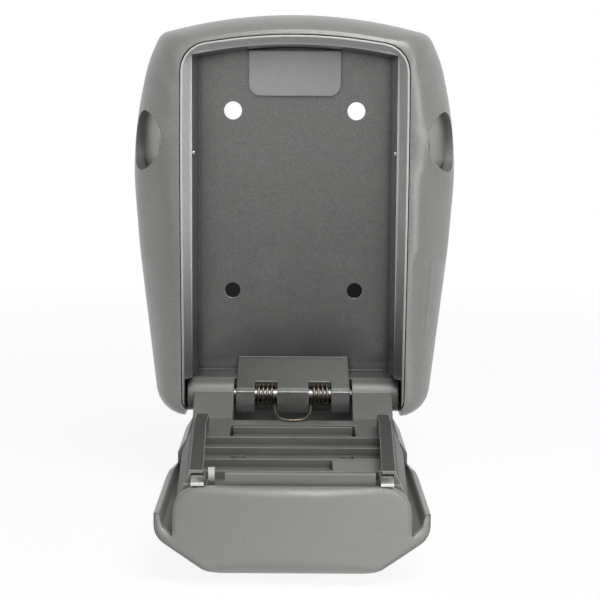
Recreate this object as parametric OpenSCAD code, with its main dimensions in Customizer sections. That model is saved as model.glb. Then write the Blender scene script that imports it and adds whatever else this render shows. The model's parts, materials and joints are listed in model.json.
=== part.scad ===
// Wall key safe with a drop-down door and a four-wheel combination lock, shown open.
// Frame: +Z up, the wall is the plane y = 0, the front faces -Y.
// The door is drawn in its open place: v runs from the hinge axis toward -Y, w runs up.

/* [Case] */
// Widest width of the outer shell
shell_w = 104; // [94:0.5:114]
// Height of the shell top above the origin
shell_top = 60.6; // [56:0.1:66]
// Depth of the shell's bottom below the origin
shell_bottom = 67.7; // [64:0.1:72]
// Depth from the wall to the front edge of the shell
shell_d = 36.5; // [34:0.1:40]
// Shell wall thickness
shell_t = 2.6; // [2:0.1:3.2]
// Width of the rolled border beside the mouth
border_w = 16.2; // [14.6:0.1:17.8]
// Height of the rolled border above the mouth
border_h = 6.9; // [6.2:0.1:7.6]
// Width of the sloped strip inside the mouth
strip_w = 3.6; // [3.2:0.1:4]
// Height of the sloped strip at the top of the mouth
strip_h = 3; // [2.6:0.1:3.4]
// Depth of the sloped strip
strip_d = 4; // [3.6:0.1:4.4]
// Back wall thickness
back_t = 3; // [2.5:0.1:4]
// Radius of the arched top
arch_r = 154; // [140:1:200]

/* [Wall screws] */
// Spacing of the two screw holes
screw_spacing = 41; // [36:0.5:46]
// Height of the screw holes above the origin
screw_z = 30; // [26:0.5:32]
// Screw hole diameter
screw_hole_d = 6; // [5:0.1:7]
// Diameter of the two spare holes below
spare_hole_d = 5; // [4:0.1:6]

/* [Hinge] */
// Distance of the hinge axis behind the shell's front edge
hinge_in = 10.1; // [9.4:0.1:11]
// Height of the hinge axis above the shell's bottom
hinge_up = 6.7; // [6.2:0.1:7.4]
// Hinge pin diameter
pin_d = 3; // [2.5:0.1:3.4]
// Outer radius of the door's knuckles
knuckle_r = 5.4; // [4.8:0.1:5.8]
// Half width of the fixed knuckle
fixed_half = 18.4; // [17:0.1:20]
// Hinge spring coil diameter
coil_d = 6.5; // [5.8:0.1:6.8]
// Hinge spring wire diameter
wire_d = 0.85; // [0.7:0.05:0.9]
// Turns in each coil
coil_turns = 4; // [3:1:4]
// Pitch of the coil
coil_pitch = 1.4; // [1.35:0.05:1.5]

/* [Door] */
// Gap between the door's top end and the key space's top
top_gap = 0.6; // [0.5:0.1:1]
// Depth of the front face in front of the hinge axis
door_d = 27.8; // [26.4:0.1:29.2]
// Half width of the door's flange
flange_half = 36; // [34.5:0.1:37.5]
// Half width of the flat front
front_half = 20; // [19:0.1:21.5]
// Front wall thickness
door_t = 4; // [3.6:0.1:4.4]
// Half width of the top end panel
panel_half = 30.9; // [29.5:0.1:32]
// Thickness of the top end panel
panel_t = 5.1; // [4.6:0.1:5.6]
// Drop of the panel's edge below the hinge axis
panel_drop = 4.4; // [4:0.1:5]
// Thickness of the mechanism cover's walls
cover_t = 2; // [1.6:0.1:2.2]

/* [Lock] */
// Distance from the top end to the dial axis
lock_drop = 41.6; // [38:0.1:45]
// Number wheel diameter
dial_d = 13.2; // [12:0.1:14]
// Number wheel width
dial_w = 6.2; // [5:0.1:6.4]
// Spacing of the number wheels
dial_pitch = 7; // [6.8:0.1:7.2]
// Dial shaft diameter
shaft_d = 3; // [2.5:0.1:3.4]
// Latch travel
latch_travel = 3; // [2:0.1:3.4]
// Reset lever travel
reset_travel = 2.2; // [1.5:0.1:2.6]
// Shutter half width
shutter_half = 18; // [16:0.1:18.6]

/* [Hidden] */
$fn = 48;
fine_fn = 180;

// Clearances: press fits, running fits, open gaps and parts that pass each other
press_gap = 0.01;
run_gap = 0.05;
fit_gap = 0.3;
pass_gap = 0.6;
cut = 1;

zinc = [0.5, 0.5, 0.48];
light_zinc = [0.58, 0.59, 0.57];
dark_grey = [0.3, 0.3, 0.29];
steel = [0.72, 0.72, 0.72];
black = [0.06, 0.06, 0.06];
bone = [0.86, 0.85, 0.8];

// Mouth, key space and hinge axis
shell_half = shell_w / 2;
mouth_half = shell_half - border_w;
mouth_top = shell_top - border_h;
opening_half = mouth_half - strip_w;
opening_top = mouth_top - strip_h;
opening_d = shell_d - strip_d;
hinge_y = hinge_in - shell_d;
hinge_z = hinge_up - shell_bottom;
lip_t = 2.1;
mouth_bottom = shell_bottom - lip_t;
back_draft = 0.3;
strip_step = 0.3;
strip_land = 0.6;
strip_half = mouth_half - fit_gap - strip_land;

// Outlines: corners are [x, z, radius], rounded by arcs
arc_steps = 5;
arch_steps = 16;
long_r = 400;
top_run = 5.8;
corner_r = 5;
shoulder_r = 45;
flank_r = 130;
bulge_r = 100;
low_r = 200;
corner_in = 8.9;
shoulder_in = 4.8;
shoulder_drop = 8.6;
flank_in = 1.2;
flank_drop = 25.1;
bulge = 0.3;
bulge_z = 11;
low_in = 1.7;
low_z = -15;
foot_in = 7.9;
foot_r = 8.5;
belly = 0.6;
mouth_r = 9;
mouth_foot_r = 4;
mouth_bow = 0.2;
mouth_draw = 0.4;
mouth_drops = [17.7, 30, 45];

// Hinge bay and fixed knuckle
arm_gap = 0.7;
knuckle_half = mouth_half - 2;
bay_half = knuckle_half + arm_gap;
bay_top = hinge_z + knuckle_r + 0.8;
bay_back = hinge_y + knuckle_r + 1.6;
ledge_z = hinge_z + 4;
knuckle_back_z = hinge_z + 8.3;
knuckle_front_z = hinge_z + 1.4;
knuckle_front_y = hinge_y - 4;
knuckle_low_z = hinge_z - 5.4;
arm_in = fixed_half + pass_gap;

// Double torsion spring
coil_r = (coil_d - wire_d) / 2;
coil_in = 5.9;
coil_out = coil_in + coil_turns * coil_pitch;
curl_rings = 8;
tube_sides = 6;
bail_v = 21;
bail_drop = 1.7;
leg_len = 9;
notch_gap = 0.4;
notch_in = coil_in - wire_d / 2 - notch_gap;
notch_out = coil_out + wire_d / 2 + notch_gap;
notch_r = coil_d / 2 + 0.8;
web_w = -coil_r - bail_drop - wire_d / 2 - run_gap;

// Case fittings
plate_w = 30.4;
plate_h = 14.8;
plate_high = opening_top - pow(plate_w / 2, 2) / (2 * arch_r) - fit_gap;
plate_low = plate_high - plate_h;
plate_r = 3.8;
plate_t = 2;
plate_off = 1.6;
plate_y = -back_t - plate_off;
post_d = 4;
post_flange = 0.8;
post_x = 9;
post_z = plate_high - 6.8;
blind_t = 0.5;
rivet_d = 2.4;
rivet_z = 16.5;
rivet_y = 5.5 - opening_d;
rivet_proud = 0.5;
boss_d = 6;
boss_end = shell_d - 9.6;
case_screw_d = 3;
case_screw_len = 10;
case_head_d = 5;
case_head_t = 1.6;
case_screws = [[shell_half - 11, 36], [shell_half - 13.2, -47]];
dish_d = 18.9;
dish_tilt = 20;
dish_place = [shell_half - 6.4, 10.3 - shell_d, 20.5];
dish_wall = 2.4;

// Door: half width of its sides at the foot and at the rim
side_half = mouth_half - 0.6;
rim_half = opening_half - 0.5;
side_taper = 0.043;
side_w = -9.5;
rim_w = -1.2;
cover_inset = 0.5;
door_len = opening_top + strip_step - top_gap - hinge_z;
panel_v = door_len - panel_t;
panel_rim = -panel_drop;
floor_w = door_t - door_d;
flange_w = -12;
flange_t = 1.6;
channel_w = -15.4;
flank_w = -18.6;
ledge_w = -15.5;
tail_w = -knuckle_r - 0.9;
tail_half = arm_in + 2;
tail_t = 1.5;
lip_v = 6;
tail_v = 0.7 - lip_v;
waist_half = flange_half - 1.2;
ledge_v = 24;
waist_v = 42;
curl_v = 60;
wing_v = 66;
wing_r = 60;
curl_r = 30;

// Hinge arms
arm_face_half = opening_half - pass_gap;
arm_wide_half = strip_half - pass_gap;
arm_flat_v = 14.5;
arm_flat_w = -5.4;
arm_low_w = -17.6;
arm_front = 9;
arm_end = 41;
arm_foot_half = 24.6;
arm_foot_v = 16;
web_from = 19;
web_to = 26;

// Mechanism cover
cover_from = arm_end + cover_inset;
cover_to = panel_v - 0.7;
cover_floor = -7.6;
cover_floor_t = 1.6;
cover_low = cover_floor - cover_floor_t;
skirt_w = -14;
rail_w = 3.7;
rail_from = 28;
tongue_from = web_to + pass_gap;
rib_t = 1.4;
rib_w = -5.3;
lip_w = 1.9;
lip_top = -1.6;
pad_in = 11;
pad_w = -5.6;
cover_screw_d = 2;
cover_head_d = 3.8;
cover_head_t = 0.9;
cover_post_d = 4.8;

// Dials
dial_v = door_len - lock_drop;
dial_wz = dial_d / 2 + 2.3 - door_d;
dial_count = 4;
hub_d = 8;
hub_gap = 0.15;
saddle_in = dial_pitch * (dial_count - 1) / 2 + dial_w / 2 + 0.9;
saddle_t = 2.5;
saddle_half = 3.5;
clip_d = 5.4;
clip_t = 0.8;
shaft_half = saddle_in + saddle_t + clip_t + pass_gap;
gate_w = 2.2;
gate_t = 1;
window_half = 5.5;
notch_count = 10;
notch_d = 1.6;
notch_off = 0.35;
detent_t = 0.5;
detent_len = 4.6;
detent_half = 2.4;
detent_base = dial_pitch * (dial_count - 1) / 2 + detent_half;
detent_w = dial_wz + 4.6;

// Latch
slider_t = 1.6;
slider_w = cover_low - 2.8;
slider_from = dial_v + 14;
slider_to = panel_v - 8.5;
ear_to = slider_to + 2.4;
bolt_w = 3.4;
bolt_from = slider_to - 0.4;
bolt_to = panel_v + 2.7;
bolt_t = 1.8;
bolt_low = panel_rim + fit_gap;
bolt_high = bolt_low + bolt_t;
bolt_nose = 3.4;
bolt_tip = 0.6;
fence_from = dial_v + dial_d / 2 + pass_gap;
fence_w = 3;
button_half = 4.5;
button_v = slider_to - 3;
button_len = 4;
button_head = 8;
button_head_half = 5;
button_rise = 1.6;
grip_t = 0.6;
grip_pitch = 2.4;
button_screw_d = 2.2;
button_screw_len = 7;
button_screw_head = 4;
spring_d = 3.6;
spring_wire = 0.6;
spring_turns = 4;
spring_w = slider_w + 0.5;
seat_from = dial_v + saddle_half + 0.8;
seat_t = 2;
seat_to = seat_from + seat_t;
seat_half = 2.2;

// Shutter track
track_d = 1.9;
shutter_t = 1.5;
tongue_out = 0.9;
tongue_t = 0.6;
track_to = button_v - button_head_half - 1.7;
shutter_to = track_to - fit_gap;
shutter_len = 2 * (shutter_to - dial_v);
shutter_from = shutter_to - shutter_len;
track_from = shutter_from - shutter_len - fit_gap;
ridge_half = 9;
ridge_pitch = 2.2;

// Outline functions

function unit(p) = p / norm(p);

function flat(p) = [p[0], p[1]];

function wrap(a) = a > 180 ? a - 360 : a < -180 ? a + 360 : a;

function corner_arc(a, b, c) =
    let (to_a = unit(flat(a) - flat(b)))
    let (to_c = unit(flat(c) - flat(b)))
    let (half = acos(to_a * to_c) / 2)
    let (mid = flat(b) + unit(to_a + to_c) * b[2] / sin(half))
    let (start = flat(b) + to_a * b[2] / tan(half) - mid)
    let (stop = flat(b) + to_c * b[2] / tan(half) - mid)
    let (from = atan2(start[1], start[0]))
    let (steps = b[0] == 0 && b[1] > 0 ? arch_steps : arc_steps)
    let (turn = wrap(atan2(stop[1], stop[0]) - from) / steps)
    [for (i = [0:steps]) mid + b[2] * [cos(from + turn * i), sin(from + turn * i)]];

function rounded(c) =
    [for (k = [0:len(c) - 1])
        each corner_arc(c[(k + len(c) - 1) % len(c)], c[k], c[(k + 1) % len(c)])];

// Left half from the top, then the right half from the bottom
function both_halves(h) =
    concat([for (p = h) [-p[0], p[1], p[2]]], [for (k = [len(h) - 2:-1:1]) h[k]]);

// Mirrored polygon of a section drawn on its right side
function both_sides(h) =
    concat(h, [for (k = [len(h) - 1:-1:0]) [-h[k][0], h[k][1], h[k][2]]]);

// Height of an arch's drawn corner above its crown, for an arch that ends at angle a
function arch_lift(a) = arch_r * (1 / cos(a) - 1);

function arch_end(half) = atan(half / (1.6 * arch_r));

function arched(half, top, r, bottom) =
    let (peak = top + arch_lift(arch_end(half)))
    rounded(both_halves([
        [0, peak, arch_r],
        [half, peak - half * tan(arch_end(half)), r],
        [half + 0.7 * mouth_bow, top - mouth_drops[0], long_r],
        [half + mouth_bow, top - mouth_drops[1], long_r],
        [half + 0.9 * mouth_bow, top - mouth_drops[2], long_r],
        [half + 0.25 * mouth_bow, low_z, long_r],
        [half - mouth_draw, -bottom, mouth_foot_r],
        [0, -bottom - belly, long_r]]));

corner_x = shell_half - corner_in;
top_end = asin((corner_x - top_run) / arch_r);
shell_peak = shell_top + arch_lift(top_end);
corner_z = shell_peak - corner_x * tan(top_end);
shell_outline = rounded(both_halves([
    [0, shell_peak, arch_r],
    [corner_x, corner_z, corner_r],
    [shell_half - shoulder_in, corner_z - shoulder_drop, shoulder_r],
    [shell_half - flank_in, corner_z - flank_drop, flank_r],
    [shell_half + bulge, bulge_z, bulge_r],
    [shell_half - low_in, low_z, low_r],
    [shell_half - foot_in, -shell_bottom, foot_r],
    [0, -shell_bottom - belly, long_r]]));

mouth_outline = arched(mouth_half, mouth_top, mouth_r, mouth_bottom);
case_outline = arched(mouth_half - fit_gap, mouth_top - fit_gap, mouth_r, mouth_bottom - fit_gap);

// Sloped strip round the mouth, a little wider than the key space at its inner edge
strip_in_r = 2.5;
strip_out_r = 8.5;
strip_lift = 2;
strip_in = arched(opening_half + strip_step, opening_top + strip_step, strip_in_r,
    mouth_bottom - strip_lift);
strip_out = arched(strip_half, mouth_top - fit_gap - strip_land, strip_out_r,
    mouth_bottom - strip_lift);

function scaled(o, s) = [for (p = o) p * s];

function mixed(a, b, t) = [for (k = [0:len(a) - 1]) a[k] * (1 - t) + b[k] * t];

function ring(o, y) = [for (p = o) [p[0], y, p[1]]];

// Outer form: bulges from the wall, then rolls in to the mouth
roll_steps = 8;
roll_d = 22.5;
roll_from = shell_d - roll_d;
back_scale = 0.965;
edge_scale = 0.985;
full_scale = 0.998;
full_d = 9;
function roll_y(i) = -roll_from - roll_d * sin(90 * i / roll_steps);
function roll_mix(i) = 1 - cos(90 * i / roll_steps);

function back_rings(grow) =
    [ring(scaled(shell_outline, back_scale * grow), 0),
        ring(scaled(shell_outline, edge_scale * grow), -back_t),
        ring(scaled(shell_outline, full_scale * grow), -full_d)];

shell_rings = concat(back_rings(1),
    [for (i = [0:roll_steps])
        ring(mixed(shell_outline, mouth_outline, roll_mix(i)), roll_y(i))]);

// Hollow behind the rolled front: [depth behind the front edge, share of the mouth outline]
inner_scale = 1 - shell_t / shell_half;
hollow_steps = [[roll_d, 0], [16.5, 0.1], [12.5, 0.2], [9.5, 0.34]];
hollow_rings = concat(back_rings(inner_scale),
    [for (s = hollow_steps)
        ring(mixed(scaled(shell_outline, inner_scale), mouth_outline, s[1]), s[0] - shell_d)]);

// Door sides: half width at a place along the door and a height
function plug_half(v, w) =
    let (t = max(0, (w - side_w) / (rim_w - side_w)))
    side_half * (1 - t) + rim_half * t - side_taper * v;

bolt_out = plug_half(cover_to, rim_w) - cover_inset - pass_gap;
bolt_in = bolt_out - bolt_w;
slider_half = bolt_out - 0.4;
ear_in = bolt_in - 0.4;
spring_x = slider_half - seat_half - 0.2;
rail_to = cover_to - 2;
cover_screw_places = [[saddle_in - 0.5, cover_from + 7.5],
    [detent_base + cover_post_d / 2 + fit_gap, dial_v - 8]];
rib_vs = [cover_from + rib_t, dial_v - 12.5, dial_v + 2.5, dial_v + 17];
tongue_half = fixed_half - 0.2;

// Reset lever beside the left bolt
lever_t = 1.7;
lever_x = 0.8 - bolt_in;
lever_to = cover_to - 2.6;
lever_from = lever_to - 1.6;
lever_top = -0.7;
lever_foot = 8;
lever_foot_t = 1.2;

// Solids from rings of points

module loft(rings) {
    n = len(rings[0]);
    last = (len(rings) - 1) * n;
    sides = [for (i = [0:len(rings) - 2], k = [0:n - 1])
        each [[i * n + k, (i + 1) * n + k, (i + 1) * n + (k + 1) % n],
            [i * n + k, (i + 1) * n + (k + 1) % n, i * n + (k + 1) % n]]];
    caps = [[for (k = [0:n - 1]) k], [for (k = [n - 1:-1:0]) last + k]];
    polyhedron([for (r = rings) each r], concat(sides, caps), convexity = 6);
}

function tangent(p, i) = unit(p[min(i + 1, len(p) - 1)] - p[max(i - 1, 0)]);

function carried(p, i, u) =
    i == len(p) ? [] :
    let (t = tangent(p, i))
    let (side = unit(u - t * (u * t)))
    concat([side], carried(p, i + 1, side));

module tube(p, d, u) {
    sides = carried(p, 0, u);
    loft([for (i = [0:len(p) - 1])
        let (b = cross(tangent(p, i), sides[i]))
        [for (k = [0:tube_sides - 1])
            let (a = 360 * k / tube_sides)
            p[i] + d / 2 * (cos(a) * sides[i] + sin(a) * b)]]);
}

function least_gap(p, d) =
    min([for (i = [0:len(p) - 1], j = [i + curl_rings - 2:1:len(p) - 1]) norm(p[i] - p[j])]) - d;

module along_x(w) {
    rotate([90, 0, 90])
        linear_extrude(w, center = true)
            children();
}

module along_y(d) {
    rotate([90, 0, 0])
        linear_extrude(d)
            children();
}

module rod_x(d, x0, x1) {
    translate([x0, 0, 0])
        rotate([0, 90, 0])
            cylinder(d = d, h = x1 - x0);
}

module rod_y(d, y0, y1) {
    translate([0, y1, 0])
        rotate([90, 0, 0])
            cylinder(d = d, h = y1 - y0);
}

// Box from opposite corners
module span(a, b) {
    translate(a)
        cube(b - a);
}

// Box on the open door, from x, v and w ranges
module door_span(x, v, w) {
    span([x[0], -v[1], w[0]], [x[1], -v[0], w[1]]);
}

module both() {
    for (side = [0, 1])
        mirror([side, 0, 0])
            children();
}

module at_hinge() {
    translate([0, hinge_y, hinge_z])
        children();
}

// Case

module key_space() {
    front = -opening_d - strip_step;
    intersection() {
        translate([0, 0, ledge_z])
            linear_extrude(2 * opening_top - ledge_z)
                polygon([[back_draft - opening_half, -back_t], [opening_half - back_draft, -back_t],
                    [opening_half, front], [-opening_half, front]]);
        translate([0, 0, opening_top - arch_r])
            rotate([90, 0, 0])
                cylinder(r = arch_r, h = shell_d + 2 * cut, $fn = fine_fn);
    }
}

// Open foot of the mouth, where the door's arms pass
module hinge_bay() {
    span([-bay_half, -shell_d - cut, -2 * shell_bottom], [bay_half, bay_back, bay_top]);
}

module fixed_knuckle() {
    along_x(2 * fixed_half)
        polygon([[-back_t, knuckle_back_z], [knuckle_front_y, knuckle_front_z],
            [knuckle_front_y, knuckle_low_z], [bay_back, fit_gap - mouth_bottom],
            [-back_t, fit_gap - mouth_bottom]]);
}

module spring_notch() {
    both() {
        at_hinge() {
            span([notch_in, -notch_r - leg_len, -notch_r - leg_len], [notch_out, notch_r, 2 * leg_len]);
            span([coil_out - wire_d, 0, -coil_r - wire_d],
                [notch_out, leg_len + cut, -coil_r + wire_d]);
        }
    }
}

module case_screw_places() {
    both() {
        for (p = case_screws)
            translate([p[0], 0, p[1]])
                children();
    }
}

module case_body() {
    color(zinc)
    difference() {
        union() {
            difference() {
                union() {
                    along_y(shell_d)
                        polygon(case_outline);
                    along_y(back_t)
                        polygon(scaled(shell_outline, back_scale * inner_scale - fit_gap / shell_half));
                }
                key_space();
                loft([ring(strip_in, -opening_d), ring(strip_out, -shell_d),
                    ring(strip_out, -shell_d - cut)]);
                hinge_bay();
            }
            fixed_knuckle();
        }
        spring_notch();
        at_hinge()
            rod_x(pin_d + 2 * press_gap, -bay_half, bay_half);
        for (x = [-1, 1]) {
            translate([x * screw_spacing / 2, 0, screw_z])
                rod_y(screw_hole_d, -back_t - cut, cut);
            translate([x * screw_spacing / 2, 0, -screw_z])
                rod_y(spare_hole_d, -back_t - cut, cut);
            translate([x * post_x, 0, post_z])
                rod_y(post_d, -back_t - cut, cut);
        }
        both() {
            translate([0, rivet_y, rivet_z])
                rod_x(rivet_d, opening_half - 2 * cut, mouth_half);
            span([bolt_in - fit_gap, hinge_y + bolt_low - fit_gap, opening_top - 4 * cut],
                [bolt_out + fit_gap, hinge_y + bolt_high + fit_gap, mouth_top + cut]);
        }
        case_screw_places() {
            rod_y(case_screw_d + 2 * run_gap, -back_t - cut, cut);
            rod_y(case_head_d + 2 * run_gap, -case_head_t, cut);
        }
    }
}

module side_dish(r, from, to) {
    translate(dish_place)
        rotate([0, 0, -dish_tilt])
            rod_x(2 * r, from, to);
}

module outer_shell() {
    color(zinc)
    difference() {
        union() {
            difference() {
                loft(shell_rings);
                translate([0, press_gap, 0])
                    loft(hollow_rings);
            }
            case_screw_places()
                rod_y(boss_d, -boss_end, -back_t);
            both()
                side_dish(dish_d / 2, -dish_wall, 0);
        }
        translate([0, cut, 0])
            along_y(shell_d + 2 * cut)
                polygon(mouth_outline);
        hinge_bay();
        both()
            side_dish(dish_d / 2, 0, dish_d);
        case_screw_places()
            rod_y(case_screw_d, -back_t - case_screw_len - 2 * cut, 0);
    }
}

module blanking_plate() {
    color(light_zinc)
    difference() {
        translate([0, plate_y, 0])
            along_y(plate_t)
                polygon(rounded(both_sides([[plate_w / 2, plate_high, pass_gap],
                    [plate_w / 2, plate_low, plate_r]])));
        for (x = [-post_x, post_x])
            translate([x, 0, post_z])
                rod_y(post_d, plate_y - plate_t / 2, 0);
    }
}

module plate_posts() {
    color(steel)
    for (x = [-post_x, post_x])
        translate([x, 0, post_z]) {
            rod_y(post_d - 2 * press_gap, plate_y - plate_t / 2 + press_gap, -blind_t);
            rod_y(post_d + 2 * post_flange, plate_y + press_gap, -back_t - press_gap);
        }
}

module hole_plugs() {
    color(black)
    for (x = [-1, 1])
        translate([x * screw_spacing / 2, 0, -screw_z])
            rod_y(spare_hole_d - 2 * press_gap, fit_gap - back_t, -fit_gap);
}

module side_rivets() {
    color(steel)
    both()
        translate([0, rivet_y, rivet_z])
            rod_x(rivet_d - 2 * press_gap, opening_half - rivet_proud, mouth_half - fit_gap);
}

module shell_screws() {
    color(steel)
    case_screw_places() {
        rod_y(case_screw_d - 2 * press_gap, -back_t - case_screw_len, -case_head_t / 2);
        rod_y(case_head_d, press_gap - case_head_t, -fit_gap);
    }
}

module hinge_pin() {
    color(steel)
    at_hinge()
        rod_x(pin_d, pass_gap - knuckle_half, knuckle_half - pass_gap);
}

// Left leg and coil, from the case end to the bail end
bail_turn = 4.7;
spring_half = concat(
    [[-coil_out, leg_len, -coil_r], [-coil_out, leg_len / 2, -coil_r]],
    [for (i = [0:coil_turns * curl_rings])
        let (a = -90 - 360 * i / curl_rings)
        [-coil_out + coil_pitch * i / curl_rings, coil_r * cos(a), coil_r * sin(a)]],
    [for (p = [[0, 0.35, 0.15], [0.1, 0.68, 0.55], [0.45, 0.92, 0.9], [1, 1, 1]])
        [bail_turn * p[0] - coil_in, -bail_v * p[1], -coil_r - bail_drop * p[2]]]);
spring_path = concat(spring_half,
    [for (k = [len(spring_half) - 1:-1:0])
        [-spring_half[k][0], spring_half[k][1], spring_half[k][2]]]);
echo(hinge_spring_least_gap = least_gap(spring_path, wire_d));

module hinge_spring() {
    color(steel)
    at_hinge()
        tube(spring_path, wire_d, [1, 0, 0]);
}

// Door

function plug_ring(v, w, inset) =
    let (near = plug_half(v[0], w) - inset)
    let (far = plug_half(v[1], w) - inset)
    [[-near, -v[0], w], [-far, -v[1], w], [far, -v[1], w], [near, -v[0], w]];

module plug(v, w, inset) {
    loft([for (h = w[0] < side_w ? [w[0], side_w, w[1]] : w) plug_ring(v, h, inset)]);
}

module door_dish() {
    translate([0, lip_v, 0])
        along_y(door_len + lip_v)
            polygon(rounded(both_sides([
                [front_half, -door_d, 14],
                [flange_half - 1.4, flank_w, 6],
                [flange_half, channel_w, 3],
                [flange_half, flange_w, 0.6],
                [flange_half - flange_t, flange_w, 0.6],
                [flange_half - flange_t - 0.8, channel_w, 2],
                [front_half + 5.5, floor_w + 2, 4],
                [front_half - 0.5, floor_w, 3]])));
}

module end_panel() {
    translate([0, -panel_v, 0])
        along_y(panel_t + cut)
            polygon(rounded(both_sides([
                [front_half, cut - door_d, 2],
                [panel_half, flank_w, 2],
                [panel_half, panel_rim, 7]])));
}

module door_limits() {
    intersection() {
        linear_extrude(4 * door_d, center = true)
            intersection() {
                polygon(rounded(both_sides([
                    [waist_half, lip_v, 5],
                    [waist_half - cut / 4, -waist_v, wing_r],
                    [flange_half, -wing_v, wing_r],
                    [flange_half, -door_len, 7]])));
                translate([0, arch_r - door_len])
                    circle(arch_r, $fn = fine_fn);
            }
        along_x(2 * flange_half + cut)
            polygon(rounded([
                [lip_v, -door_d, 5],
                [-door_len, -door_d, 6],
                [-door_len, panel_rim, 2.4],
                [-panel_v, panel_rim, 1],
                [cut - panel_v, flange_w + fit_gap, 1],
                [-curl_v, flange_w + fit_gap, curl_r],
                [-ledge_v, ledge_w, curl_r],
                [lip_v, ledge_w, 1]]));
    }
}

// Outer limit of the arms: full width below the shell's front, narrower beside the key space
function arm_ring(half, w) =
    [[-half, 0, w], [-half, -2 * arm_end, w], [half, -2 * arm_end, w], [half, 0, w]];

module arms() {
    both() {
        rod_x(2 * knuckle_r, arm_in, knuckle_half);
        intersection() {
            translate([(arm_in + flange_half) / 2, 0, 0])
                along_x(flange_half - arm_in)
                    polygon([[-0.55 * knuckle_r, 0.82 * knuckle_r], [-0.96 * knuckle_r, 0.28 * knuckle_r],
                        [-arm_flat_v, arm_flat_w], [-arm_end, arm_flat_w], [-arm_end, arm_low_w],
                        [-arm_front, arm_low_w], [-0.37 * knuckle_r, -0.92 * knuckle_r]]);
            loft([arm_ring(arm_wide_half, 2 * arm_low_w), arm_ring(arm_wide_half, -hinge_in - fit_gap),
                arm_ring(arm_face_half, strip_d - hinge_in), arm_ring(arm_face_half, 2 * knuckle_r)]);
        }
        door_span([arm_in, arm_foot_half], [arm_foot_v, arm_end], [floor_w - cut / 2, arm_low_w + cut]);
    }
    door_span([-arm_in - cut, arm_in + cut], [web_from, web_to], [floor_w - cut, web_w]);
    door_span([-tail_half, tail_half], [tail_v, tail_v + tail_t], [floor_w - cut, tail_w]);
}

module door_posts() {
    both() {
        door_span([saddle_in, saddle_in + saddle_t], [dial_v - saddle_half, dial_v + saddle_half],
            [floor_w - cut, dial_wz + saddle_half]);
        door_span([spring_x - seat_half, spring_x + seat_half], [seat_from, seat_to],
            [floor_w - cut / 2, spring_w + spring_d / 2]);
        for (p = cover_screw_places)
            translate([p[0], -p[1], floor_w - cut / 2])
                cylinder(d = cover_post_d, h = cover_low - floor_w + cut / 2 - press_gap);
    }
}

function dial_x(i) = (i - (dial_count - 1) / 2) * dial_pitch;

module dial_places() {
    for (i = [0:dial_count - 1])
        translate([dial_x(i), -dial_v, dial_wz])
            children();
}

module shutter_track() {
    door_span([-shutter_half - fit_gap, shutter_half + fit_gap], [track_from, track_to],
        [-door_d - cut, track_d - door_d]);
    door_span([-shutter_half - tongue_out - fit_gap, shutter_half + tongue_out + fit_gap],
        [track_from, track_to], [track_d - door_d - tongue_t - fit_gap, track_d - door_d]);
}

module door_shell() {
    color(light_zinc)
    at_hinge()
    difference() {
        union() {
            intersection() {
                union() {
                    door_dish();
                    end_panel();
                }
                door_limits();
            }
            arms();
            door_posts();
        }
        rod_x(pin_d + 2 * run_gap, -knuckle_half - cut, knuckle_half + cut);
        translate([0, -dial_v, dial_wz])
            rod_x(shaft_d + 2 * press_gap, -flange_half, flange_half);
        dial_places()
            span([-dial_w / 2 - fit_gap, -window_half, -dial_d], [dial_w / 2 + fit_gap, window_half, -3]);
        shutter_track();
        door_span([-button_half - fit_gap, button_half + fit_gap],
            [button_v - button_len / 2 - fit_gap, button_v + button_len / 2 + latch_travel + fit_gap],
            [-door_d - cut, floor_w + cut]);
        both()
            for (p = cover_screw_places)
                translate([p[0], -p[1], floor_w + cut])
                    cylinder(d = cover_screw_d, h = door_d);
    }
}

module cover_walls() {
    difference() {
        plug([cover_from, cover_to], [skirt_w, rim_w], cover_inset);
        plug([cover_from - cut, cover_to - cover_t], [skirt_w - cut, cover_low], cover_t + cover_inset);
        plug([cover_from - cut, cover_to + cut], [cover_floor, rim_w + cut], rail_w + cover_inset);
        both() {
            door_span([bolt_in - pass_gap, side_half], [rail_to, cover_to + cut],
                [bolt_low - fit_gap, rim_w + cut]);
            door_span([bolt_in - fit_gap, bolt_out + fit_gap], [bolt_from - fit_gap, cover_to + cut],
                [bolt_low - fit_gap, bolt_high + fit_gap]);
        }
    }
}

module cover_ribs() {
    rail_x = plug_half(cover_from, rim_w) - cover_inset;
    for (v = rib_vs)
        let (half = plug_half(v, rim_w) - cover_inset - rail_w + cut / 2)
        door_span([-half, half], [v - rib_t, v], [cover_floor - cut / 2, rib_w]);
    door_span([pad_in, plug_half(dial_v, rim_w) - cover_inset - rail_w], [rib_vs[2] - cut, rib_vs[3]],
        [cover_floor - cut / 2, pad_w]);
    door_span([-tongue_half, tongue_half], [tongue_from, cover_from + rib_t],
        [cover_low, cover_floor]);
    door_span([-tongue_half, tongue_half], [tongue_from, tongue_from + rib_t],
        [cover_low, rib_w]);
    door_span([lever_x + lever_t + reset_travel + pass_gap, bolt_in - 2 * pass_gap],
        [cover_to - lip_w, cover_to], [cover_low, lip_top]);
    both()
        door_span([rail_x - rail_w, rail_x], [rail_from, cover_from + cut],
            [arm_flat_w + run_gap, rim_w]);
}

module mechanism_cover() {
    color(dark_grey)
    at_hinge()
    difference() {
        union() {
            cover_walls();
            cover_ribs();
        }
        both() {
            door_span([bolt_in - fit_gap, bolt_out + fit_gap],
                [bolt_from - fit_gap, ear_to + latch_travel + fit_gap],
                [cover_low - cut, bolt_high + fit_gap]);
            for (p = cover_screw_places)
                translate([p[0], -p[1], cover_low - cut])
                    cylinder(d = cover_screw_d + 2 * run_gap, h = -2 * cover_low);
        }
        door_span([lever_x - fit_gap, lever_x + lever_t + reset_travel + fit_gap],
            [lever_from - fit_gap, lever_to + fit_gap], [cover_low - cut, rim_w + cut]);
    }
}

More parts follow.
